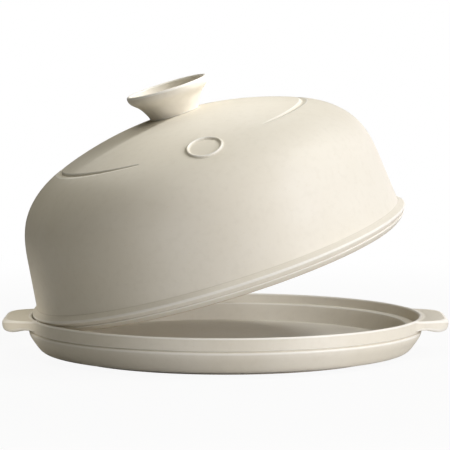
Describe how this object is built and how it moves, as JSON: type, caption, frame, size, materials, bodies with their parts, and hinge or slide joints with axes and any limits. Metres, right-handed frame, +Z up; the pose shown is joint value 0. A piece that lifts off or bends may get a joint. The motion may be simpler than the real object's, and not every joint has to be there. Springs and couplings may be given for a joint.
{
  "type": "bread cloche",
  "caption": "Round glazed ceramic baking tray with two lugs under a tall domed lid with a cup-shaped knob; the lid tilts open on its rim.",
  "frame": {"origin": "centre of the tray's foot ring, on the surface that the tray stands on", "axes": "+X to the right lug, +Z up, -Y to the front with the lid's oval field; the lid is ajar at rest, raised on its +X side"},
  "size_m": [0.335, 0.2946, 0.2095],
  "materials": {
    "tray_glaze": "satin cream glaze, bare clay on the foot ring",
    "lid_glaze": "satin cream glaze",
    "knob_glaze": "satin cream glaze"
  },
  "bodies": {
    "tray": {"base_tray": "tray_glaze"},
    "lid": {"dome": "lid_glaze", "knob": "knob_glaze"}
  },
  "joints": [
    {"name": "lid_tilt", "type": "hinge", "parent": "tray", "child": "lid", "pos_m": [-0.13446, -0.03422, 0.03399], "axis": [0.2467, -0.9691, 0], "range_deg": [-17.22, 27.78]}
  ]
}
